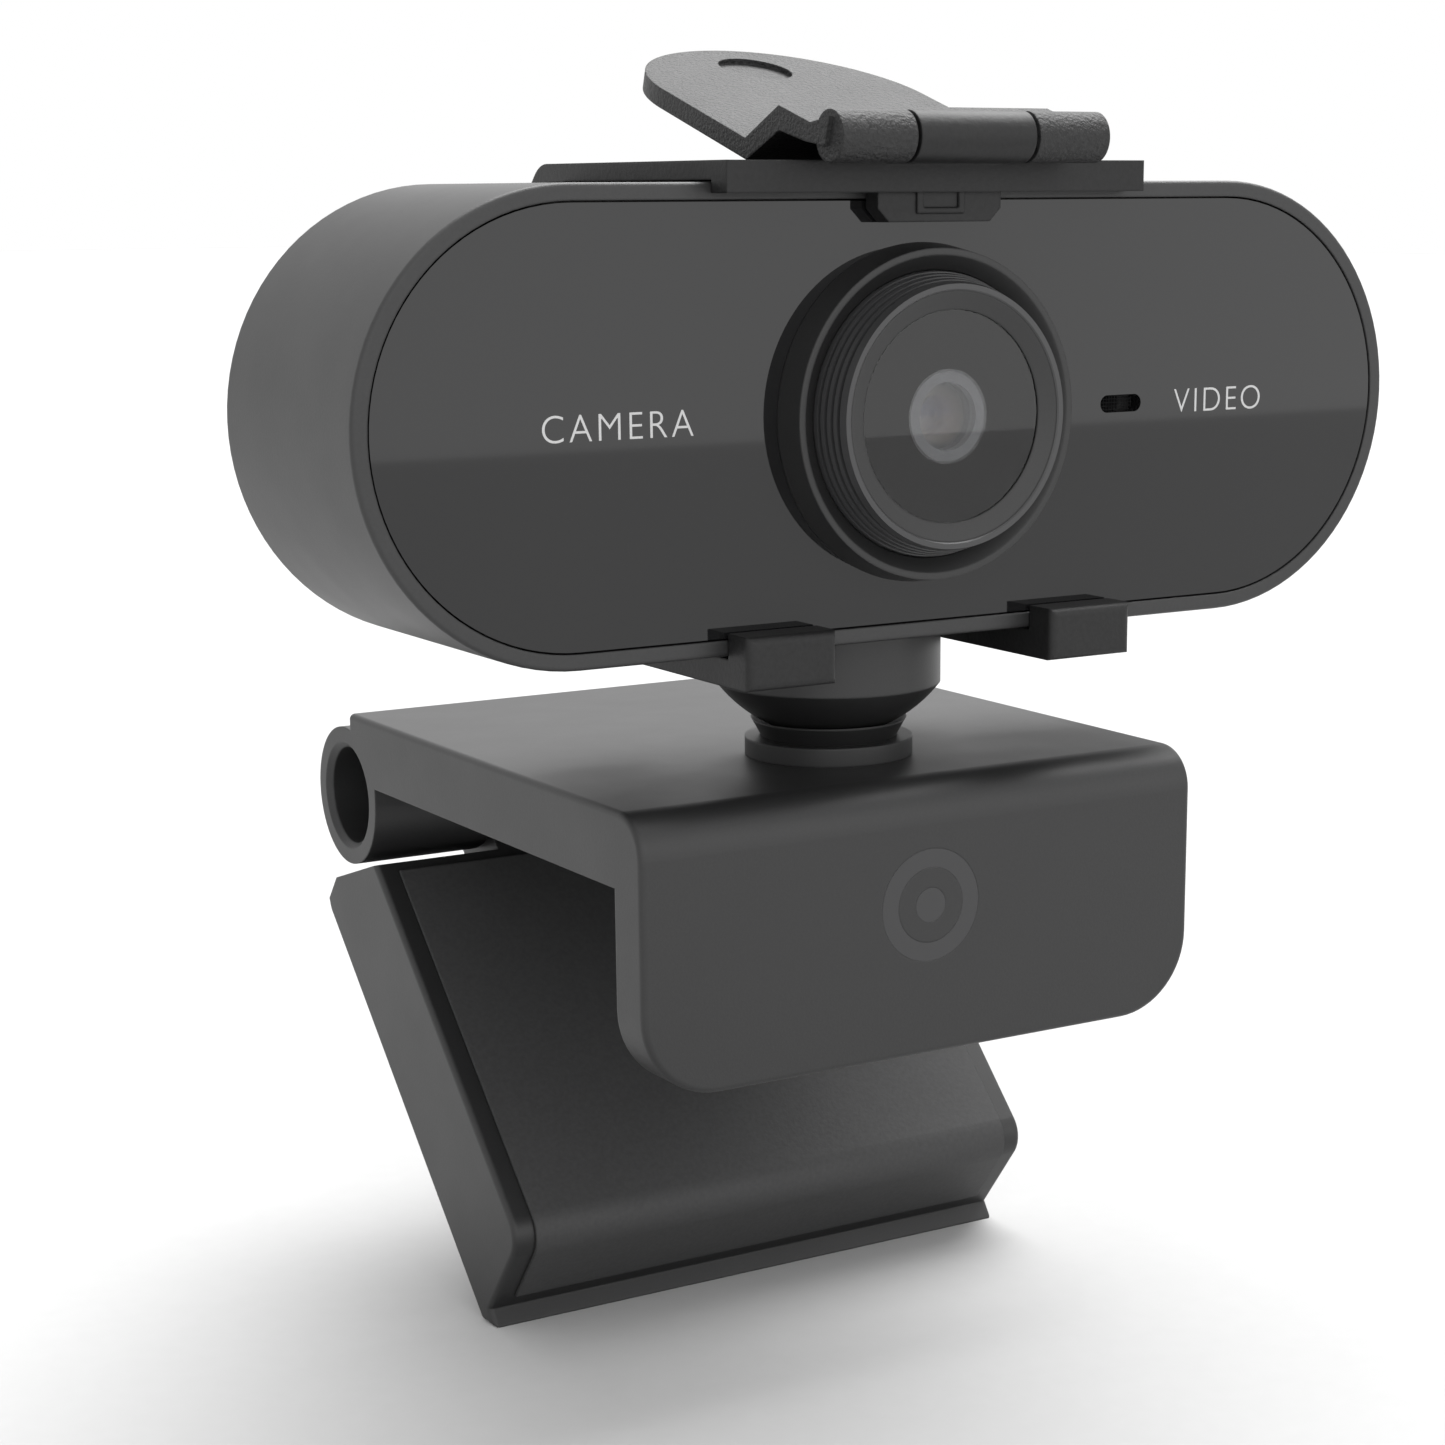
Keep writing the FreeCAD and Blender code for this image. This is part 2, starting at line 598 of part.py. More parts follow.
def neck_cup():
    """The domed cup under the head, with a slot that the stud runs in as the head tilts."""
    tilt = "0 - housing_height / 2 + tilt_rise"
    floor = "0 - housing_height / 2"
    low = floor + " - neck_height"
    centre = ("0", "neck_setback", tilt)
    outer = common(
        cylinder("cup_radius", "neck_height", ("0", "neck_setback", low)), sphere("dome_radius", centre)
    )
    collar = cylinder("collar_radius", "shell_wall + 1.5", ("0", "neck_setback", floor))
    inner = common(
        cylinder("cup_bore", "neck_height + shell_wall + 4", ("0", "neck_setback", low)),
        fuse(
            sphere("dome_radius - dome_wall", centre),
            cylinder("cup_bore", "shell_wall + 4", ("0", "neck_setback", floor)),
        ),
    )
    travel = "( dome_radius * sin(tilt_limit) + stud_radius + slot_gap )"
    slot = box(
        "2 * stud_radius + 2 * slot_gap", f"2 * {travel}", "neck_height",
        ("0", f"neck_setback - {travel}", low + " - 1"),
    )
    cup = cut(fuse(outer, collar), inner, slot)
    node("neck_cup", put(cup, "head"))
    ring = tube(
        "collar_radius + snap_ring_width", "collar_radius", "1.2",
        ("0", "neck_setback", floor + " + shell_wall"),
    )
    node("neck_snap_ring", put(ring, "head"))


# ---------------------------------------------------------------- head casing
REAR = "housing_depth + rear_thickness"
LENS_HOLE = "( lens_ring_radius + lens_hole_gap )"


def obround(grow):
    """Draws the head's outline, grown or shrunk all round."""
    width, height = f"housing_width + 2 * ( {grow} )", f"housing_height + 2 * ( {grow} )"
    return lambda sketch: add_obround(sketch, width, height)


def housing_shell():
    body = new_body()
    slab(body, obround("0"), "0", "housing_depth")
    soften(body, "Fillet", "rim_round", lambda e: near(e.CenterOfMass.y, "0"))
    pocket(body, obround("0 - shell_wall"), "0", "housing_depth")
    pocket(body, obround("0 - rim_wall"), "0", "panel_inset + panel_thickness + gasket_thickness")
    sketch = sketch_on(body, "XY_Plane", "0 - housing_height / 2 - 1")
    add_circle(sketch, "collar_radius", "0", "neck_setback")
    feature(body, "Pocket", sketch, "shell_wall + 3", reverse=True)
    node("housing_shell", put(body, "head"))


def pocket(body, draw, front, depth):
    """Pockets an outline drawn in X and Z from Y = front towards +Y."""
    sketch = sketch_on(body, "XZ_Plane", f"0 - ( {front} )")
    draw(sketch)
    return feature(body, "Pocket", sketch, depth)


def front_panel():
    body = new_body()
    slab(body, obround("0 - rim_wall - panel_gap"), "panel_inset", "panel_thickness")
    pocket(body, lambda s: add_circle(s, LENS_HOLE), "panel_inset", "panel_thickness")
    pocket(
        body, lambda s: add_obround(s, "mic_slot_width", "mic_slot_height", "mic_across", "0"),
        "panel_inset", "panel_thickness",
    )
    node("front_panel", put(body, "head"))
    gasket = new_body()
    start = "panel_inset + panel_thickness"
    slab(gasket, obround("0 - rim_wall - panel_gap"), start, "gasket_thickness")
    pocket(gasket, obround("0 - rim_wall - panel_gap - gasket_width"), start, "gasket_thickness")
    node("panel_gasket", put(gasket, "head"))


BOSSES = [(side, level) for side in ("", "0 - ") for level in ("", "0 - ")]


def rear_cover():
    body = new_body()
    slab(body, obround("0 - rear_inset"), "housing_depth", "rear_thickness")
    soften(body, "Fillet", "rear_round", lambda e: near(e.CenterOfMass.y, REAR))
    inside = "0 - shell_wall - spigot_gap"
    slab(body, obround(inside), "housing_depth - spigot_depth", "spigot_depth + 0.5")
    pocket(
        body, obround(inside + " - spigot_wall"),
        "housing_depth - spigot_depth", "spigot_depth + rear_thickness - rear_skin",
    )
    bushes, holes = [], []
    for side, level in BOSSES:
        across, up = side + "boss_across", level + "boss_up"
        seat = (across, REAR + " - head_recess", up)
        bushes.append(
            cylinder("boss_radius", "rear_thickness - rear_skin / 2", (across, "housing_depth", up), "Y")
        )
        holes.append(
            cylinder("screw_radius + 0.2", "rear_thickness", (across, "housing_depth - 1", up), "Y")
        )
        holes.append(cylinder("screw_head_radius + 0.2", "head_recess + 1", seat, "Y"))
    gland = cylinder(
        "gland_radius", "rear_thickness + 2", ("0", "housing_depth - 1", "0 - gland_drop"), "Y"
    )
    node("rear_cover", put(cut(fuse(body, *bushes), gland, *holes), "head"))


# ---------------------------------------------------------------- lens
CHASSIS_FRONT = "panel_inset + panel_thickness + gasket_thickness"
BASE_NOSE = "( lens_ring_radius + base_ring_width - base_ring_taper )"
RING_NOSE = "( lens_ring_radius - lens_ring_taper )"
RING_BORE = "( lens_ring_radius - lens_ring_wall )"
BEZEL_BORE = "( lens_ring_radius - lens_ring_wall - bezel_width )"
WINDOW_EDGE = "( lens_ring_radius - lens_ring_wall - window_seat )"


def lens_parts():
    face = "panel_inset"
    node("lens_base_ring", put(turned([
        ("lens_ring_radius + running_gap", face + " + panel_thickness"),
        (LENS_HOLE + " - running_gap", face + " + panel_thickness"),
        (LENS_HOLE + " - running_gap", face),
        ("lens_ring_radius + base_ring_width", face),
        (BASE_NOSE, face + " - base_ring_height"),
        (BASE_NOSE + " - base_ring_lip", face + " - base_ring_height"),
        ("lens_ring_radius + running_gap", face + " - base_ring_height + dish_depth"),
    ]), "head"))
    nose = face + " - lens_ring_height"
    taper = "lens_ring_taper / ( lens_ring_height - taper_start )"
    outline = [
        (RING_BORE, CHASSIS_FRONT),
        ("lens_ring_radius", CHASSIS_FRONT),
        ("lens_ring_radius", face + " - taper_start"),
    ]
    for groove in range(GROOVES):
        start = f"( groove_pitch * {groove} + groove_width )"
        end = f"( groove_pitch * {groove} + 2 * groove_width )"
        for along, sink in ((start, "0"), (start, "groove_depth"), (end, "groove_depth"), (end, "0")):
            outline.append(
                (f"lens_ring_radius - {along} * {taper} - {sink}", f"{face} - taper_start - {along}")
            )
    outline += [(RING_NOSE, nose), (RING_BORE + " + 0.1", nose), (RING_BORE, nose + " + 0.1")]
    node("lens_ring", put(turned(outline), "head"))
    lip = nose + " + 0.1 + bezel_slope"
    node("lens_bezel", put(turned([
        (RING_BORE, nose + " + 0.1"),
        (BEZEL_BORE, lip),
        (BEZEL_BORE, lip + " + 0.1"),
        (WINDOW_EDGE, lip + " + 0.1"),
        (WINDOW_EDGE, lip + " + 0.1 + window_thickness"),
        (RING_BORE, lip + " + 0.1 + window_thickness"),
    ]), "head"))
    glass = lip + " + 0.1"
    node("lens_window", put(cylinder(WINDOW_EDGE, "window_thickness", ("0", glass, "0"), "Y"), "head"))
    mask = glass + " + window_thickness"
    node("lens_mask", put(tube(RING_BORE, "mask_hole", "mask_thickness", ("0", mask, "0"), "Y"), "head"))
    tip = mask + " + 0.05"
    node(
        "lens_retainer",
        put(tube("barrel_tip_radius", "lens_radius", "mask_thickness + 0.25", ("0", tip, "0"), "Y"), "head"),
    )
    start = mask + " + mask_thickness + 0.3"
    bore = cut(
        cylinder("lens_barrel_radius", "lens_barrel_length", ("0", start, "0"), "Y"),
        cylinder("lens_radius", "2", ("0", start, "0"), "Y"),
        cylinder("lens_radius - 0.5", "lens_barrel_length", ("0", start, "0"), "Y"),
        cylinder("lens_barrel_radius - 1.6", "lens_barrel_length - 4.5", ("0", start + " + 4.5", "0"), "Y"),
    )
    node("lens_barrel", put(bore, "head"))
    ball = sphere("lens_radius * 1.3", ("0", tip + " + 0.25 + lens_radius * 1.3", "0"))
    disc = cylinder("lens_radius", "2.4", ("0", tip, "0"), "Y")
    node("front_lens", put(common(ball, disc), "head"))
    node(
        "rear_lens",
        put(cylinder("lens_barrel_radius - 1.6", "1.8", ("0", start + " + 4.5", "0"), "Y"), "head"),
    )
    holder_y = "board_back - holder_depth"
    block = box("holder_width", "holder_depth", "holder_width", ("0", holder_y, "0 - holder_width / 2"))
    room = box(
        "holder_width - 3", "2.6", "holder_width - 3",
        ("0", "board_back - 2.6", "0 - holder_width / 2 + 1.5"),
    )
    throat = cylinder("lens_barrel_radius", "holder_depth", ("0", holder_y, "0"), "Y")
    node("lens_holder", put(cut(block, room, throat), "head"))
    filter_y = start + " + lens_barrel_length"
    node("infrared_filter", put(
        box(
            "filter_width", "filter_thickness", "filter_width", ("0", filter_y, "0 - filter_width / 2")
        ), "head"
    ))
    node("image_sensor", put(
        box(
            "sensor_width", "sensor_thickness", "sensor_width",
            ("0", "board_back - sensor_thickness", "0 - sensor_width / 2"),
        ),
        "head",
    ))


# ---------------------------------------------------------------- electronics
def electronics():
    board = box(
        "board_width", "board_thickness", "board_height", ("0", "board_back", "0 - board_height / 2")
    )
    corners = [(side + "post_across", level + "post_up") for side, level in BOSSES]
    holes = [
        cylinder("screw_radius + 0.1", "board_thickness", (x, "board_back", z), "Y") for x, z in corners
    ]
    node("main_board", put(cut(board, *holes), "head"))
    behind = "board_back + board_thickness"
    node("board_screws", put(group(*[screw(x, behind, z) for x, z in corners]), "head"))
    node("processor_chip", put(
        box("chip_width", "chip_thickness", "chip_width", ("0", behind, "0 - chip_width / 2")), "head"
    ))
    node("heat_pad", put(
        box(
            "chip_width", "heat_pad_thickness", "chip_width",
            ("0", behind + " + chip_thickness", "0 - chip_width / 2"),
        ), "head"
    ))
    plug = box("plug_width", "plug_depth", "plug_height", ("0 - 16", behind, "0 - plug_height / 2"))
    room = box(
        "plug_width - 1.6", "plug_depth", "plug_height - 1.6",
        ("0 - 16", behind + " + 1", "0 - plug_height / 2 + 0.8"),
    )
    node("cable_socket", put(cut(plug, room), "head"))
    node("microphone", put(
        box(
            "mic_can_width", "mic_can_height", "mic_can_width",
            ("mic_across", "board_back - mic_can_height", "0 - mic_can_width / 2"),
        ),
        "head",
    ))
    start = "panel_inset + panel_thickness"
    length = "board_back - mic_can_height - panel_inset - panel_thickness"
    node(
        "microphone_boot",
        put(tube("mic_boot_radius", "mic_boot_bore", length, ("mic_across", start, "0"), "Y"), "head"),
    )


def screw(across, seat, up):
    """A pan-head screw driven towards -Y, its head standing on the seat."""
    shank = cylinder("screw_radius", "screw_length", (across, f"{seat} - screw_length", up), "Y")
    head = cylinder("screw_head_radius", "screw_head_height", (across, seat, up), "Y")
    top = f"{seat} + screw_head_height - 0.6"
    slots = [
        box("2.2", "1", "0.5", (across, top, f"{up} - 0.25")),
        box("0.5", "1", "2.2", (across, top, f"{up} - 1.1")),
    ]
    return cut(fuse(shank, head), *slots)


def chassis():
    """The inner frame behind the panel: posts carry the board, long bosses take the rear screws."""
    front = CHASSIS_FRONT
    body = new_body()
    slab(body, obround("0 - shell_wall"), front, "chassis_thickness")
    pocket(body, lambda s: add_circle(s, "chassis_hole"), front, "chassis_thickness")
    pocket(
        body,
        lambda s: add_circle(s, "mic_boot_radius + 0.2", "mic_across", "0"),
        front, "chassis_thickness",
    )
    base = f"{front} + chassis_thickness - 0.2"
    solids, holes = [], []
    for side, level in BOSSES:
        spot = (side + "post_across", base, level + "post_up")
        solids.append(cylinder("post_radius", f"board_back - ( {base} )", spot, "Y"))
        holes.append(cylinder(
            "screw_radius", "screw_length",
            (spot[0], "board_back + board_thickness - screw_length", spot[2]), "Y",
        ))
        spot = (side + "boss_across", base, level + "boss_up")
        solids.append(cylinder("boss_radius", f"housing_depth - ( {base} )", spot, "Y"))
        holes.append(cylinder(
            "screw_radius", "screw_length + 2",
            (spot[0], REAR + " - head_recess - screw_length - 0.5", spot[2]), "Y",
        ))
    node("inner_chassis", put(cut(fuse(body, *solids), *holes), "head"))
    seat = REAR + " - head_recess"
    rear = [screw(side + "boss_across", seat, level + "boss_up") for side, level in BOSSES]
    node("rear_screws", put(group(*rear), "head"))


def cable_gland():
    def at(back):
        return ("0", back, "0 - gland_drop")

    stem = cylinder("gland_radius", "rear_thickness - 1", at("housing_depth + 1"), "Y")
    flange = cylinder("gland_flange", "1", at(REAR + " - rear_skin - 1"), "Y")
    boot = cone("gland_radius", "gland_radius - 0.6", "gland_reach", at(REAR), "Y")
    bore = cylinder("cable_radius", "rear_thickness + gland_reach", at("housing_depth"), "Y")
    node("cable_gland", put(cut(fuse(stem, flange, boot), bore), "head"))


# ---------------------------------------------------------------- privacy cover
def cover_frame():
    """The snap-on frame: a plate on top, two straps round the back and under, and hooks on the front rim."""
    top = "housing_height / 2 + cover_gap"
    under = "0 - housing_height / 2 - cover_gap"
    back = REAR + " + cover_gap"
    outer_back = back + " + strap_thickness"
    plate = top + " + cover_thickness"
    over_the_back = [
        (outer_back + " - strap_bevel", plate),
        (outer_back, plate + " - strap_bevel"),
        (outer_back, plate + " - strap_bevel - 1.4"),
        (back, plate + " - strap_bevel - 1.4"),
        (back, top + " - strap_relief"),
        (back + " - strap_relief", top),
    ]
    body = new_body()
    pad_x(
        body,
        [
            ("0 - cover_overhang", plate),
            *over_the_back,
            ("0 - cover_gap", top),
            ("0 - cover_gap", top + " - cover_lip - cover_gap"),
            ("0 - cover_overhang", top + " - cover_lip - cover_gap"),
        ],
        "cover_width",
    )
    strap = [
        ("0 - hook_reach", under + " + cover_gap + hook_height"),
        ("0 - hook_reach", under + " - arm_thickness"),
        (outer_back + " - strap_bevel", under + " - arm_thickness"),
        (outer_back, under + " - arm_thickness + strap_bevel"),
        (outer_back, plate + " - strap_bevel"),
        (outer_back + " - strap_bevel", plate),
        (back + " - strap_relief", plate),
        (back + " - strap_relief", top),
        (back, top + " - strap_relief"),
        (back, under + " + strap_relief"),
        (back + " - strap_relief", under),
        ("0 - cover_gap", under),
        ("0 - cover_gap", under + " + cover_gap + hook_height"),
    ]
    pad_x(body, strap, "strap_width", offset="strap_inner", both=False)
    pad_x(body, strap, "strap_width", offset="0 - strap_inner - strap_width", both=False)
    tab = sketch_on(body, "XZ_Plane", "cover_gap")
    level = "lens_ring_radius + base_ring_width + tab_gap"
    add_polygon(tab, [
        ("tab_width / 2", top + " + 0.5"),
        ("0 - tab_width / 2", top + " + 0.5"),
        ("0 - tab_width / 2", level + " + 1"),
        ("0 - tab_width / 2 + 1", level),
        ("tab_width / 2 - 1", level),
        ("tab_width / 2", level + " + 1"),
    ])
    feature(body, "Pad", tab, "tab_thickness")
    hinge = ("0 - flap_ahead", "housing_height / 2 + flap_rise")
    pad_x(
        body,
        [
            (hinge[0], hinge[1] + " - flap_knuckle"),
            ("0 - cover_overhang + 0.5", hinge[1] + " - flap_knuckle"),
            ("0 - cover_overhang + 0.5", plate),
            (hinge[0], plate),
        ],
        "2 * centre_knuckle",
    )
    sketch = sketch_on(body, "YZ_Plane")
    add_circle(sketch, "flap_knuckle", *hinge)
    feature(body, "Pad", sketch, "2 * centre_knuckle", both=True)
    sketch = sketch_on(body, "YZ_Plane")
    add_circle(sketch, "flap_pin", *hinge)
    feature(body, "Pocket", sketch, "2 * centre_knuckle + 2", both=True)
    bends = (
        plate, plate + " - strap_bevel", under + " - arm_thickness",
        under + " - arm_thickness + strap_bevel",
    )
    soften(
        body, "Fillet", "strap_bevel * 1.2",
        lambda e: runs_along(e, "x") and any(near(e.CenterOfMass.z, level) for level in bends)
        and (near(e.CenterOfMass.y, outer_back) or near(e.CenterOfMass.y, outer_back + " - strap_bevel")),
    )
    soften(
        body, "Fillet", "cover_round",
        lambda e: near(e.CenterOfMass.y, "0 - hook_reach"),
    )
    node("cover_frame", put(body, "cover"))
    pin_start = "0 - barrel_half + 1.2"
    pin = cylinder("flap_pin", "2 * barrel_half - 1.2", (pin_start, *hinge), "X")
    node("flap_pin", put(pin, "cover"))


def cover_flap():
    """The flap, drawn level about its hinge axis; a ridged arm carries it over the plate's front edge."""
    face = "0 - flap_drop"
    lower = face + " - flap_thickness"
    end = "flap_centre + flap_width / 2"
    body = new_body()
    pad_x(
        body,
        [
            ("0", "flap_knuckle * 0.75"),
            ("dip_reach", "dip_height"),
            ("ridge_reach", "ridge_height"),
            ("flap_valley", face),
            (end, face),
            (end, lower),
            ("flap_valley - 0.6", lower),
            ("ridge_reach - 0.6", "ridge_height - flap_thickness - 0.2"),
            ("dip_reach + 0.4", "dip_height - flap_thickness"),
            ("0", "0 - flap_knuckle * 0.4"),
        ],
        "flap_width",
    )
    rounded = sketch_on(body, "XY_Plane", "0 - flap_drop - flap_thickness - 1")
    reach = "( flap_centre + flap_width )"
    add_polygon(rounded, [
        ("0 - flap_width", "flap_centre"),
        ("flap_width", "flap_centre"),
        ("flap_width", reach),
        ("0 - flap_width", reach),
    ])
    feature(body, "Pocket", rounded, "flap_thickness + 2", reverse=True)
    disc = sketch_on(body, "XY_Plane", lower)
    add_circle(disc, "flap_width / 2", "0", "flap_centre")
    feature(body, "Pad", disc, "flap_thickness")
    dimple = sketch_on(body, "XY_Plane", face)
    add_circle(dimple, "dimple_radius", "0", "dimple_reach")
    feature(body, "Pocket", dimple, "dimple_depth")
    notch = sketch_on(body, "YZ_Plane")
    add_circle(notch, "flap_knuckle + joint_gap", "0", "0")
    feature(body, "Pocket", notch, "2 * centre_knuckle + 2 * joint_gap", both=True)
    length = "barrel_half - centre_knuckle - joint_gap"
    for offset in ("centre_knuckle + joint_gap", "0 - barrel_half"):
        sketch = sketch_on(body, "YZ_Plane", offset)
        add_circle(sketch, "flap_knuckle", "0", "0")
        feature(body, "Pad", sketch, length)
    sketch = sketch_on(body, "YZ_Plane", "0 - barrel_half + 1")
    add_circle(sketch, "flap_pin + running_gap", "0", "0")
    feature(body, "Pocket", sketch, "2 * barrel_half", reverse=True)
    node("cover_flap", put(body, "flap"))


# ---------------------------------------------------------------- build, check, write
clip_bracket(clip_pads())
clip_hinge()
jaw_parts()
neck_parts()
neck_cup()
housing_shell()
front_panel()
rear_cover()
lens_parts()
electronics()
chassis()
cable_gland()
cover_frame()
cover_flap()
doc.recompute()

failed = [item.Name for item in doc.Objects if {"Invalid", "Error"} & set(item.State)]
if failed:
    raise RuntimeError(f"features failed: {failed}")
for name, thing in nodes.items():
    if thing.Shape.isNull() or not thing.Shape.isValid() or not thing.Shape.Solids:
        raise RuntimeError(f"{name} is not a valid solid")
os.makedirs("parts", exist_ok=True)
for name, thing in nodes.items():
    thing.Shape.exportStep(f"parts/{name}.step")
print(len(nodes), "nodes written")
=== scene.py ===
# %% [markdown]
# # A clip-on webcam
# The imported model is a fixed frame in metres: every plastic, glass and metal part is already in its place.
# This lesson gives each part its finish, adds the small details that are printed, woven or polished on the
# real thing, and then stands it on a pale floor in studio light. The front of the camera faces -Y.

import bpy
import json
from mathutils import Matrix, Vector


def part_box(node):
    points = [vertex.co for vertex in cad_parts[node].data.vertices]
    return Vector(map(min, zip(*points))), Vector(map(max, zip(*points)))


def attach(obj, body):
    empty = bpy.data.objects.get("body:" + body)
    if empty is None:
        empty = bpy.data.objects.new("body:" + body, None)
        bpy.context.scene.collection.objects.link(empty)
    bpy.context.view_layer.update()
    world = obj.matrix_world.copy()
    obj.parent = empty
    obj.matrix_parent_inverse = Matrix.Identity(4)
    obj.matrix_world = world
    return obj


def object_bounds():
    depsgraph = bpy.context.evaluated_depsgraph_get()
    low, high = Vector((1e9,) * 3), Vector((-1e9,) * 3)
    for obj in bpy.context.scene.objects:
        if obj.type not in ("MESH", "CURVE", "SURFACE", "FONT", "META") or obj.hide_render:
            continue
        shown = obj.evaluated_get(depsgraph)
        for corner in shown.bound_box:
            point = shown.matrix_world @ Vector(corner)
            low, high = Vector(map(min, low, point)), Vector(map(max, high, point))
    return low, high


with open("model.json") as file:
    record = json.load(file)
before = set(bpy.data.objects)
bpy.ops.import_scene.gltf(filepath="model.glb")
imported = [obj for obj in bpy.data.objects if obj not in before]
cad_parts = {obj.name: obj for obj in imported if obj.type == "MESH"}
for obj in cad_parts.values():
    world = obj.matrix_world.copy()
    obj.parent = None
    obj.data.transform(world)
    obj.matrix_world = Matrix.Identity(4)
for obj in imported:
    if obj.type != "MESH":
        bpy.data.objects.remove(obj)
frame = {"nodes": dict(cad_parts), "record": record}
cad_low, cad_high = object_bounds()

# %% Imports and small helpers
import json
import math

import bmesh
import bpy
from mathutils import Matrix, Vector

MM = 0.001


def middle(name):
    """The middle of a node's box, in metres."""
    low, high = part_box(name)
    return (Vector(low) + Vector(high)) / 2


def corners(name):
    low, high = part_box(name)
    return Vector(low), Vector(high)


def piece_from(name, shape, material):
    """Turns a finished bmesh into an object in the scene with one material, and frees the bmesh."""
    mesh = bpy.data.meshes.new(name)
    shape.to_mesh(mesh)
    shape.free()
    mesh.materials.append(material)
    piece = bpy.data.objects.new(name, mesh)
    bpy.context.scene.collection.objects.link(piece)
    return piece


panel_low, panel_high = corners("front_panel")
lens_middle = middle("lens_ring")
print("panel front at y =", round(panel_low.y, 5), "lens middle at z =", round(lens_middle.z, 5))

# %% [markdown]
# ## The camera
# A small object is best seen from close by, through a longer lens. The view is from the front left and a
# little above. A camera is easiest to place by its own three axes: right, up and back. They become the
# columns of its matrix. The frame is shifted a little, which brings the object to the middle of the picture
# without turning the camera any further.

# %% Camera
camera_data = bpy.data.cameras.new("product_camera")
camera_data.lens = 72.74
camera_data.sensor_width = 36.0
camera_data.shift_x = -0.05403
camera_data.shift_y = 0.10932
camera_data.clip_start = 0.01
camera = bpy.data.objects.new("product_camera", camera_data)
bpy.context.scene.collection.objects.link(camera)
look = Vector((0.51018, 0.82897, -0.22918)).normalized()
right = Vector((0.85102, -0.52511, -0.00495)).normalized()
up = right.cross(look)
camera.matrix_world = Matrix.Translation(Vector((-0.12778, -0.22146, 0.05208))) @ Matrix(
    (right, up, -look)
).transposed().to_4x4()
bpy.context.scene.camera = camera
print("camera at", [round(v, 3) for v in camera.location])

# %% [markdown]
# ## Moulded plastic
# Nearly all of the body is charcoal plastic from a spark-eroded mould. Such a mould leaves a fine, even
# grain, so the surface is matt, but it still shines softly at a low angle. A noise texture in object
# coordinates gives the grain its real size in metres. The same noise makes a small change in colour, and a
# broader, cloudy noise changes the roughness, because real plastic is never one flat tone. The Bevel node
# rounds the shading of sharp edges, so that they catch a thin line of light, as moulded edges do.


# %% A recipe for grained plastic and rubber
def new_material(name):
    material = bpy.data.materials.new(name)
    material.use_nodes = True
    nodes = material.node_tree.nodes
    return material, nodes, material.node_tree.links, nodes["Principled BSDF"]


def grained(name, colour, rough, grain=0.22, depth=0.02, strength=0.5, spread=0.12, edge=0.25, specular=0.5):
    """A moulded surface. grain, depth and edge are in millimetres; colour is linear."""
    material, nodes, links, shader = new_material(name)
    place = nodes.new("ShaderNodeTexCoord")
    fine = nodes.new("ShaderNodeTexNoise")
    fine.inputs["Scale"].default_value = 1 / (grain * MM)
    fine.inputs["Detail"].default_value = 3.0
    fine.inputs["Roughness"].default_value = 0.6
    links.new(place.outputs["Object"], fine.inputs["Vector"])
    cloudy = nodes.new("ShaderNodeTexNoise")
    cloudy.inputs["Scale"].default_value = 140.0
    cloudy.inputs["Detail"].default_value = 4.0
    links.new(place.outputs["Object"], cloudy.inputs["Vector"])
    tone = nodes.new("ShaderNodeValToRGB")
    tone.color_ramp.elements[0].position = 0.3
    tone.color_ramp.elements[1].position = 0.7
    tone.color_ramp.elements[0].color = (*[c * (1 - spread) for c in colour], 1)
    tone.color_ramp.elements[1].color = (*[c * (1 + spread) for c in colour], 1)
    links.new(fine.outputs["Fac"], tone.inputs["Fac"])
    links.new(tone.outputs["Color"], shader.inputs["Base Color"])
    sheen = nodes.new("ShaderNodeMapRange")
    sheen.inputs["To Min"].default_value = rough - 0.05
    sheen.inputs["To Max"].default_value = rough + 0.05
    links.new(cloudy.outputs["Fac"], sheen.inputs["Value"])
    links.new(sheen.outputs["Result"], shader.inputs["Roughness"])
    bump = nodes.new("ShaderNodeBump")
    bump.inputs["Strength"].default_value = strength
    bump.inputs["Distance"].default_value = depth * MM
    links.new(fine.outputs["Fac"], bump.inputs["Height"])
    if edge:
        rounding = nodes.new("ShaderNodeBevel")
        rounding.samples = 4
        rounding.inputs["Radius"].default_value = edge * MM
        links.new(rounding.outputs["Normal"], bump.inputs["Normal"])
    links.new(bump.outputs["Normal"], shader.inputs["Normal"])
    shader.inputs["Specular IOR Level"].default_value = specular
    return material


charcoal = grained("charcoal_moulding", (0.013, 0.013, 0.0133), 0.46)
# Painted light: the housing gets a slightly paler copy of the charcoal, which stands in for the brighter
# light on its sides.
housing_lit_charcoal = grained("housing_painted_light_moulding", (0.017, 0.017, 0.0173), 0.46)
dark = grained("dark_moulding", (0.012, 0.012, 0.0122), 0.44, grain=0.18, depth=0.012)
cover_grain = grained(
    "cover_moulding", (0.007, 0.007, 0.0072), 0.5,
    grain=0.42, depth=0.06, spread=0.3, specular=0.34,
)
flap_grain = grained(
    "flap_moulding", (0.011, 0.011, 0.0113), 0.52,
    grain=0.34, depth=0.2, strength=1.0, spread=0.5, specular=0.4,
)
nylon = grained("natural_nylon", (0.55, 0.54, 0.48), 0.45, edge=0.1)
for plastic in (charcoal, housing_lit_charcoal, dark, cover_grain, flap_grain, nylon):
    print("plastic:", plastic.name)

# %% [markdown]
# ## Rubber
# The jaw, the lip and the plate have thin rubber pads that grip a screen without marking it. Rubber is
# duller than plastic and has a coarser, softer grain, so the same recipe serves with other numbers.

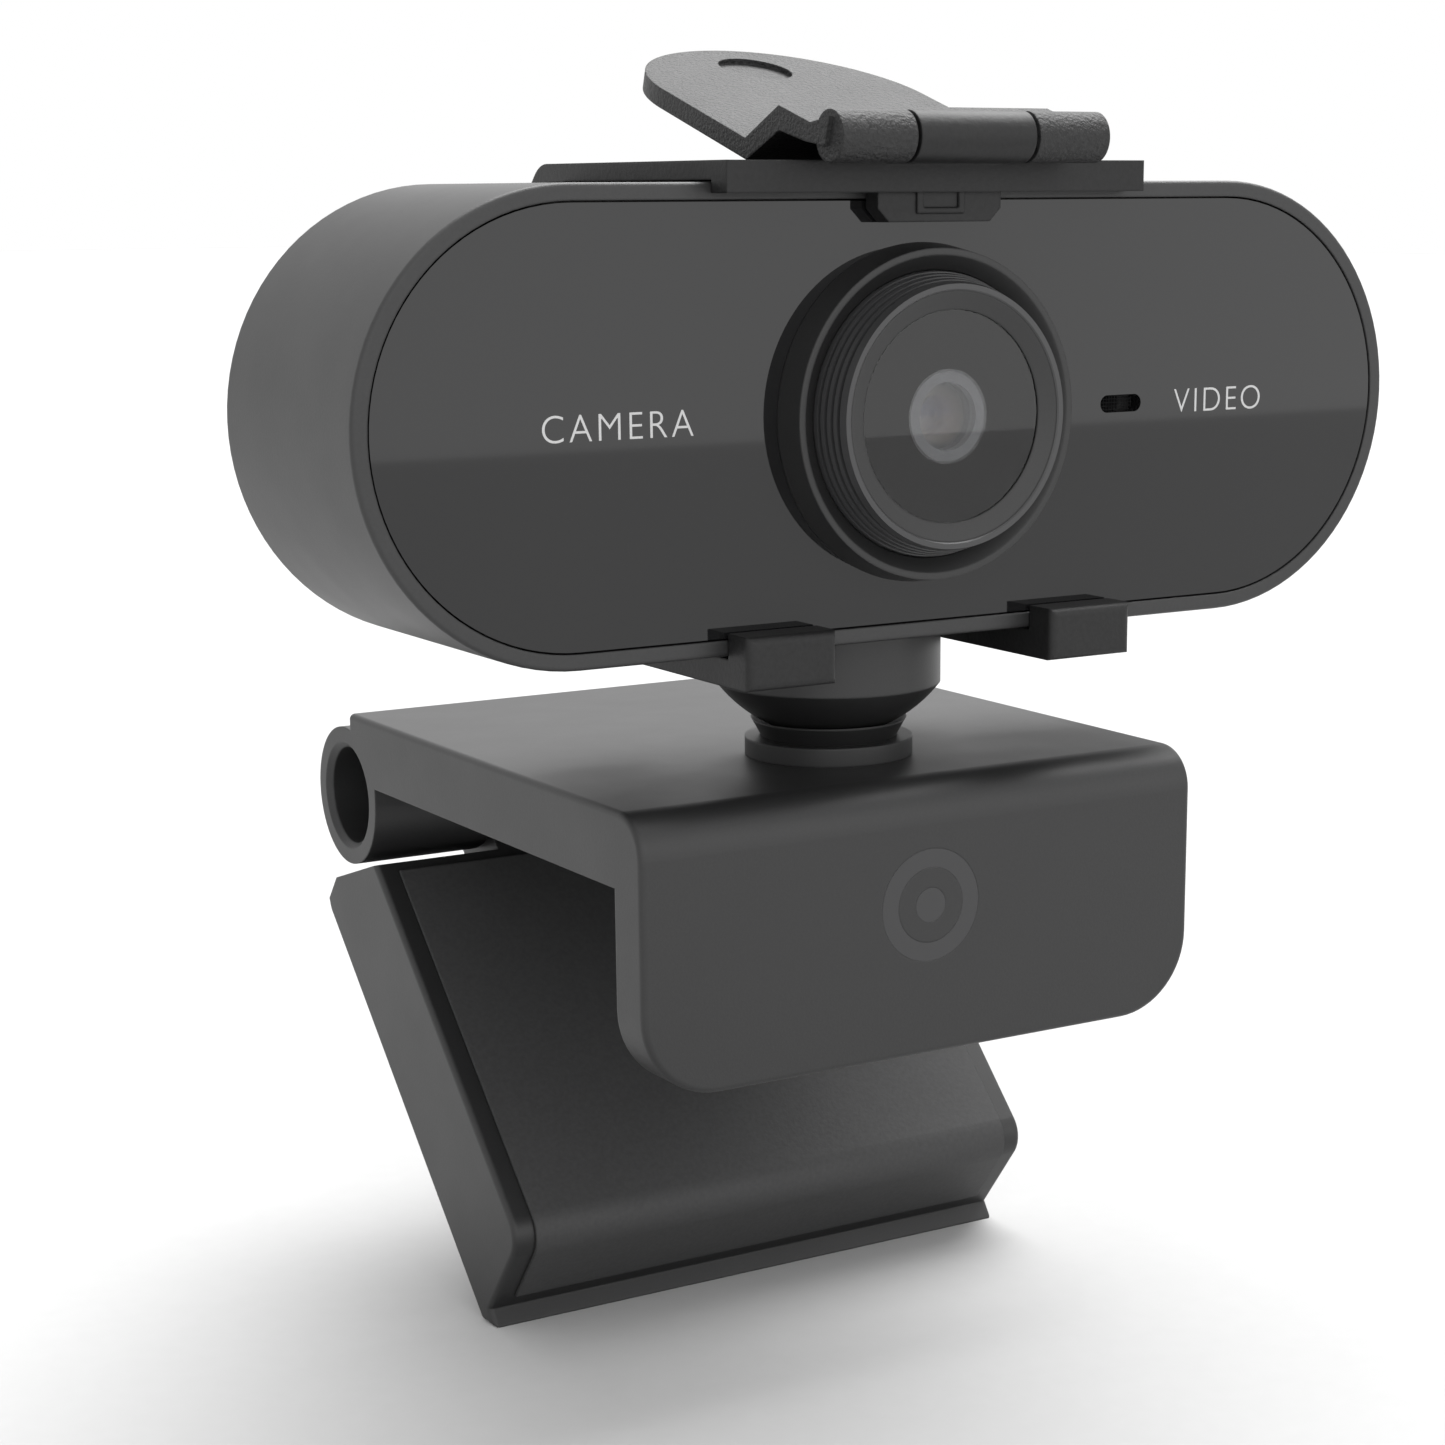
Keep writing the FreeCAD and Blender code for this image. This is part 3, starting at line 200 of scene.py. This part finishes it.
# %% Rubber pads and foam
pad_rubber = grained("pad_rubber", (0.037, 0.037, 0.0375), 0.62, grain=0.4, depth=0.03, specular=0.45)
grommet_rubber = grained("grommet_rubber", (0.012, 0.012, 0.012), 0.6, grain=0.3, depth=0.02)
gasket_foam = grained("gasket_foam", (0.02, 0.02, 0.02), 0.9, grain=0.5, depth=0.08, edge=0)
print("rubbers:", pad_rubber.name, grommet_rubber.name, gasket_foam.name)

# %% [markdown]
# ## The black mirror panel
# The front panel is a clear sheet, printed black on its back, so its face is as smooth as glass. It shows
# little colour of its own and mostly mirrors the studio: the pale floor below and the brighter soft light
# above, with a level line between them. Low roughness and a nearly black base are enough, with a very
# long, weak wave in the surface, because no moulded sheet is perfectly flat.


# %% Polished surfaces
def polished(name, colour, rough, wave=0.0, specular=0.5):
    """A smooth, hard surface. wave is the height of its slow ripple, in micrometres."""
    material, nodes, links, shader = new_material(name)
    place = nodes.new("ShaderNodeTexCoord")
    slow = nodes.new("ShaderNodeTexNoise")
    slow.inputs["Scale"].default_value = 45.0
    slow.inputs["Detail"].default_value = 1.0
    links.new(place.outputs["Object"], slow.inputs["Vector"])
    tone = nodes.new("ShaderNodeValToRGB")
    tone.color_ramp.elements[0].color = (*[c * 0.92 for c in colour], 1)
    tone.color_ramp.elements[1].color = (*[c * 1.08 for c in colour], 1)
    links.new(slow.outputs["Fac"], tone.inputs["Fac"])
    links.new(tone.outputs["Color"], shader.inputs["Base Color"])
    shader.inputs["Roughness"].default_value = rough
    shader.inputs["Specular IOR Level"].default_value = specular
    if wave:
        ripple = nodes.new("ShaderNodeBump")
        ripple.inputs["Strength"].default_value = 1.0
        ripple.inputs["Distance"].default_value = wave * 1e-6
        links.new(slow.outputs["Fac"], ripple.inputs["Height"])
        links.new(ripple.outputs["Normal"], shader.inputs["Normal"])
    return material


black_mirror = polished("black_mirror_panel", (0.006, 0.006, 0.0063), 0.03, wave=2)
inlay_gloss = polished("polished_inlay", (0.03, 0.03, 0.031), 0.16)
ring_satin = polished("lens_ring_satin", (0.032, 0.032, 0.033), 0.3)
light_ring = polished("light_ring", (0.065, 0.065, 0.067), 0.35)
print("polished:", black_mirror.name, inlay_gloss.name, ring_satin.name, light_ring.name)

# %% [markdown]
# ## Glass
# Three kinds of glass are used. The round window is flat and clear. The lens elements have a thin coating,
# which shows as a faint coloured gleam; the shader's thin film gives that colour by interference, as the
# real coating does. The infrared filter has a reddish tint and a thicker coating.


# %% Window and lens glass
def glass(name, tint, film=0.0, ior=1.5):
    """Clear glass. film is the coating's thickness in nanometres."""
    material, nodes, links, shader = new_material(name)
    shader.inputs["Base Color"].default_value = (*tint, 1)
    shader.inputs["Roughness"].default_value = 0.015
    shader.inputs["IOR"].default_value = ior
    shader.inputs["Transmission Weight"].default_value = 1.0
    if film:
        shader.inputs["Thin Film Thickness"].default_value = film
        shader.inputs["Thin Film IOR"].default_value = 1.38
    return material


window_glass = glass("window_glass", (0.8, 0.81, 0.83))
lens_glass = glass("coated_lens_glass", (0.72, 0.72, 0.74), film=110.0, ior=1.62)
filter_glass = glass("filter_glass", (0.75, 0.3, 0.3), film=520.0)
print("glass:", window_glass.name, lens_glass.name, filter_glass.name)

# %% [markdown]
# ## Metal and circuit board
# The pins, screws, stud and nut are turned steel. Tool marks make its shine uneven, so a very fine noise
# varies both tone and roughness; true rings would be too fine to see at this size. The board is green
# lacquer over copper, with a faint square pattern of tracks. They are hidden most of the time, but the
# model can be opened and turned, so each has its own finish.


# %% Turned steel, board and chips
def turned_steel(name):
    material, nodes, links, shader = new_material(name)
    shader.inputs["Metallic"].default_value = 1.0
    place = nodes.new("ShaderNodeTexCoord")
    marks = nodes.new("ShaderNodeTexNoise")
    marks.inputs["Scale"].default_value = 2600.0
    links.new(place.outputs["Object"], marks.inputs["Vector"])
    tone = nodes.new("ShaderNodeValToRGB")
    tone.color_ramp.elements[0].color = (0.42, 0.42, 0.43, 1)
    tone.color_ramp.elements[1].color = (0.56, 0.56, 0.57, 1)
    links.new(marks.outputs["Fac"], tone.inputs["Fac"])
    links.new(tone.outputs["Color"], shader.inputs["Base Color"])
    shine = nodes.new("ShaderNodeMapRange")
    shine.inputs["To Min"].default_value = 0.22
    shine.inputs["To Max"].default_value = 0.4
    links.new(marks.outputs["Fac"], shine.inputs["Value"])
    links.new(shine.outputs["Result"], shader.inputs["Roughness"])
    return material


def circuit_lacquer(name):
    material, nodes, links, shader = new_material(name)
    place = nodes.new("ShaderNodeTexCoord")
    tracks = nodes.new("ShaderNodeTexBrick")
    tracks.inputs["Scale"].default_value = 420.0
    tracks.inputs["Color1"].default_value = (0.01, 0.09, 0.035, 1)
    tracks.inputs["Color2"].default_value = (0.012, 0.11, 0.045, 1)
    tracks.inputs["Mortar"].default_value = (0.03, 0.2, 0.09, 1)
    links.new(place.outputs["Object"], tracks.inputs["Vector"])
    links.new(tracks.outputs["Color"], shader.inputs["Base Color"])
    shader.inputs["Roughness"].default_value = 0.3
    return material


steel = turned_steel("turned_steel")
board_green = circuit_lacquer("circuit_lacquer")
chip_black = grained("chip_moulding", (0.012, 0.012, 0.012), 0.55, grain=0.1, depth=0.01, edge=0.05)
can_metal = polished("plated_can", (0.3, 0.3, 0.32), 0.3)
print("metal and board:", steel.name, board_green.name, chip_black.name, can_metal.name)

# %% [markdown]
# ## Give each node its finish
# The record sorts the nodes into material slots. One table from slot to finish covers them all, and a
# missing slot would stop the script here. A second, short table is for the few nodes whose own surface
# differs from the rest of their slot: the housing, painted slightly paler as painted light for the brighter
# light on its sides, the flap's coarser grain, and the two small rubber pieces.

# %% Assign the finishes
FINISHES = {
    "charcoal_plastic": charcoal,
    "dark_plastic": dark,
    "polished_inlay": inlay_gloss,
    "soft_rubber": pad_rubber,
    "steel": steel,
    "nylon": nylon,
    "gloss_panel": black_mirror,
    "foam": gasket_foam,
    "lens_ring": ring_satin,
    "window_glass": window_glass,
    "lens_glass": lens_glass,
    "light_ring": light_ring,
    "filter_glass": filter_glass,
    "sensor": can_metal,
    "circuit_board": board_green,
    "chip": chip_black,
    "cover_plastic": cover_grain,
}
OWN_FINISH = {
    # painted light: the housing's paler copy stands in for the brighter light on its sides
    "housing_shell": housing_lit_charcoal,
    "cover_flap": flap_grain,
    "cable_gland": grommet_rubber,
    "microphone_boot": grommet_rubber,
}
for part in frame["record"]["subparts"]:
    node_mesh = frame["nodes"][part["node"]].data
    node_mesh.materials.clear()
    node_mesh.materials.append(OWN_FINISH.get(part["node"], FINISHES[part["material_slot"]]))

# %% [markdown]
# ## Printed words
# Small words are printed on the panel in pale ink, one each side of the lens. Ink is about 20 micrometres
# thick, so each word is a text curve with a hairline of depth, turned to face the front and made into a
# mesh. A small negative offset thins the strokes, as on technical lettering. The words are plain ones.


# %% Pale ink and the two words
CAPITAL_SHARE = 0.73  # a capital's height over the font's size
INK_HALF_DEPTH = 0.00001
INK_MIDDLE = 0.000012  # from the panel's face to the middle of the ink


def printed_word(name, words, left, base, height):
    """Words from left along +X, their base line at base, with capitals of the given height, in metres."""
    letters = bpy.data.curves.new(name + "_letters", "FONT")
    letters.body = words
    letters.size = height / CAPITAL_SHARE
    letters.extrude = INK_HALF_DEPTH
    letters.space_character = 1.16
    letters.offset = -0.02 * height
    shaped = bpy.data.objects.new(name + "_shape", letters)
    bpy.context.scene.collection.objects.link(shaped)
    bpy.context.view_layer.update()
    mesh = bpy.data.meshes.new_from_object(shaped.evaluated_get(bpy.context.evaluated_depsgraph_get()))
    bpy.data.objects.remove(shaped)
    stand = Matrix.Rotation(math.pi / 2, 4, "X")
    mesh.transform(Matrix.Translation((left, panel_low.y - INK_MIDDLE, base)) @ stand)
    piece = bpy.data.objects.new(name, mesh)
    bpy.context.scene.collection.objects.link(piece)
    mesh.materials.clear()
    mesh.materials.append(ink)
    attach(piece, "head")
    return piece


ink = grained("pale_ink", (0.45, 0.45, 0.45), 0.55, grain=0.12, depth=0.004, spread=0.06, edge=0)
left_word = printed_word("left_word", "CAMERA", -0.0329, lens_middle.z - 0.0008, 0.00215)
right_word = printed_word("right_word", "VIDEO", 0.0249, lens_middle.z - 0.0010, 0.0021)
for word in (left_word, right_word):
    print(word.name, "width and height:", [round(word.dimensions[axis] / MM, 1) for axis in (0, 2)], "mm")

# %% [markdown]
# ## Microphone gauze
# Behind the small slot, a woven gauze keeps dust out of the microphone. A grid with a Wireframe modifier
# makes the crossing wires at their real thickness.

# %% Gauze behind the slot
GAUZE_SIZE = (0.0044, 0.0017, 1)
GAUZE_SET_BACK = 0.0003  # in front of the panel's rear face
GAUZE_WIRE = 0.00008
mic_middle = middle("microphone_boot")
net = bmesh.new()
bmesh.ops.create_grid(net, x_segments=16, y_segments=6, size=0.5)
bmesh.ops.scale(net, vec=GAUZE_SIZE, verts=net.verts)
bmesh.ops.rotate(net, matrix=Matrix.Rotation(math.pi / 2, 3, "X"), verts=net.verts)
bmesh.ops.translate(net, vec=(mic_middle.x, panel_high.y - GAUZE_SET_BACK, mic_middle.z), verts=net.verts)
gauze = piece_from("microphone_gauze", net, dark)
wires = gauze.modifiers.new("wires", "WIREFRAME")
wires.thickness = GAUZE_WIRE
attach(gauze, "head")
print("gauze wires:", len(gauze.data.edges))

# %% [markdown]
# ## Iris inside the lens
# Looking into the small lens, one sees a dark stop with a round hole, and the next element gleaming behind
# it. The stop is a turned profile, and the gleam is a small glossy dome, whose faint purple base colour is a
# painted reflection of the lens coating.


# %% A helper that turns a profile round the lens axis
def turned_piece(name, profile, material, steps=72):
    """Turns a list of (radius, y) points round the lens axis into a smooth mesh."""
    rows = []
    shape = bmesh.new()
    for step in range(steps):
        angle = 2 * math.pi * step / steps
        rows.append([
            shape.verts.new((r * math.cos(angle), y, lens_middle.z + r * math.sin(angle))) for r, y in profile
        ])
    for here, there in zip(rows, rows[1:] + rows[:1]):
        for a in range(len(profile) - 1):
            shape.faces.new((here[a], here[a + 1], there[a + 1], there[a]))
    bmesh.ops.remove_doubles(shape, verts=shape.verts, dist=1e-7)
    bmesh.ops.recalc_face_normals(shape, faces=shape.faces)
    for face in shape.faces:
        face.smooth = True
    piece = piece_from(name, shape, material)
    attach(piece, "head")
    return piece


barrel_low, barrel_high = corners("lens_barrel")
print("lens barrel:", [round(side / MM, 2) for side in barrel_high - barrel_low], "mm")

# %% Iris stop and the element behind it
STOP_DEPTH = 0.0021  # behind the barrel's front
IRIS_RADIUS = 0.0009
stop_y = barrel_low.y + STOP_DEPTH
iris = turned_piece(
    "iris_stop",
    [(0.0021, stop_y - 0.0001), (0.0011, stop_y), (IRIS_RADIUS, stop_y + 0.00015), (0.0021, stop_y + 0.0002)],
    dark,
)
# Painted reflection: the dome's faint purple base colour stands in for its coating's coloured reflection; its
# shine comes from the glossy shader.
coating_reflection_tint = polished("painted_coating_reflection", (0.05, 0.035, 0.06), 0.05, specular=0.9)
gleam = turned_piece(
    "second_element",
    [(0.0, stop_y + 0.0003), (0.0005, stop_y + 0.00035), (0.001, stop_y + 0.0005), (0.0015, stop_y + 0.0008)],
    coating_reflection_tint,
)
print("iris hole:", 2 * IRIS_RADIUS / MM, "mm, faces:", len(iris.data.polygons), len(gleam.data.polygons))

# %% [markdown]
# ## The latch window
# The small tab in the middle of the cover's front has a raised frame, wider than it is high, where the
# moulding's catch shows. A loop of four sides with bevelled edges is enough.

# %% Latch frame on the tab
TAB_STEP = 0.00185  # from the shell's front to the tab's face
LATCH_OUTER, LATCH_INNER = (0.0022, 0.0012), (0.0016, 0.0007)  # half width and half height
LATCH_HEIGHT = 0.00018
LATCH_EDGE = 0.00006
latch_corners = ((-1, -1), (1, -1), (1, 1), (-1, 1))
outer = [(cx * LATCH_OUTER[0], cz * LATCH_OUTER[1]) for cx, cz in latch_corners]
inner = [(cx * LATCH_INNER[0], cz * LATCH_INNER[1]) for cx, cz in latch_corners]
shell_low, shell_high = corners("housing_shell")
tab_front = shell_low.y - TAB_STEP
latch_x, latch_z = 0.0004, shell_high.z - 0.0012
frame_loop = bmesh.new()
for depth_y in (tab_front, tab_front - LATCH_HEIGHT):
    for ring in (outer, inner):
        for px, pz in ring:
            frame_loop.verts.new((latch_x + px, depth_y, latch_z + pz))
frame_loop.verts.ensure_lookup_table()
v = frame_loop.verts
for k in range(4):
    n = (k + 1) % 4
    frame_loop.faces.new((v[8 + k], v[8 + n], v[12 + n], v[12 + k]))
    frame_loop.faces.new((v[k], v[8 + k], v[8 + n], v[n]))
    frame_loop.faces.new((v[4 + k], v[4 + n], v[12 + n], v[12 + k]))
    frame_loop.faces.new((v[k], v[n], v[4 + n], v[4 + k]))
bmesh.ops.recalc_face_normals(frame_loop, faces=frame_loop.faces)
bmesh.ops.bevel(frame_loop, geom=frame_loop.edges[:], offset=LATCH_EDGE, segments=2, affect="EDGES")
latch = piece_from("latch_frame", frame_loop, cover_grain)
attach(latch, "head")
print("latch frame faces:", len(latch.data.polygons))

# %% [markdown]
# ## Floor
# A pale floor reaches about 0.8 m in front of the object and far behind it. Beyond its front edge the black
# panel mirrors the light instead, and that edge draws the level line on the panel.

# %% Floor
FLOOR_FRONT, FLOOR_BACK, FLOOR_SIDE = -0.84, 5.0, 3.0
pale_floor = grained(
    "pale_floor", (0.5, 0.5, 0.5), 0.7, grain=2.0, depth=0.02, spread=0.01, edge=0, specular=0.1
)
sheet = bmesh.new()
for x, y in (
    (-FLOOR_SIDE, FLOOR_FRONT), (FLOOR_SIDE, FLOOR_FRONT), (FLOOR_SIDE, FLOOR_BACK), (-FLOOR_SIDE, FLOOR_BACK)
):
    sheet.verts.new((x, y, cad_low.z))
sheet.faces.new(sheet.verts)
floor = piece_from("floor", sheet, pale_floor)
print("floor at z =", round(cad_low.z, 5))

# %% [markdown]
# ## Light
# Two lights and a white world make the studio. A large soft box stands in front, and reaches below the
# floor's level so that the panel's mirror image of it has no edge of its own. A very wide sun, high up and a
# little behind and to the right, makes the tops bright, keeps the floor equally bright far and near, and
# drops a soft shadow.


# %% Lights and world
def add_light(name, data, aim):
    """Puts a light into the scene, shining along aim."""
    light = bpy.data.objects.new(name, data)
    bpy.context.scene.collection.objects.link(light)
    light.rotation_mode = "QUATERNION"
    light.rotation_quaternion = aim.to_track_quat("-Z", "Y")
    return light


box_data = bpy.data.lights.new("front_box", "AREA")
box_data.shape = "RECTANGLE"
box_data.size, box_data.size_y = 7.0, 3.4
box_data.energy = 60.0
front_box = add_light("front_box", box_data, Vector((0.0, 2.6, 0.0)))
front_box.location = (0.0, -2.6, 0.9)
sun_data = bpy.data.lights.new("back_light", "SUN")
sun_data.energy = 4.2
sun_data.angle = math.radians(55)
back_light = add_light("back_light", sun_data, Vector((-0.42, -0.28, -0.86)))
world = bpy.data.worlds.new("white_studio")
bpy.context.scene.world = world
world.use_nodes = True
world.node_tree.nodes["Background"].inputs["Color"].default_value = (1, 1, 1, 1)
world.node_tree.nodes["Background"].inputs["Strength"].default_value = 1.0
bpy.context.scene.view_settings.view_transform = "Standard"
bpy.context.scene.view_settings.look = "None"
print("lights:", front_box.name, back_light.name)
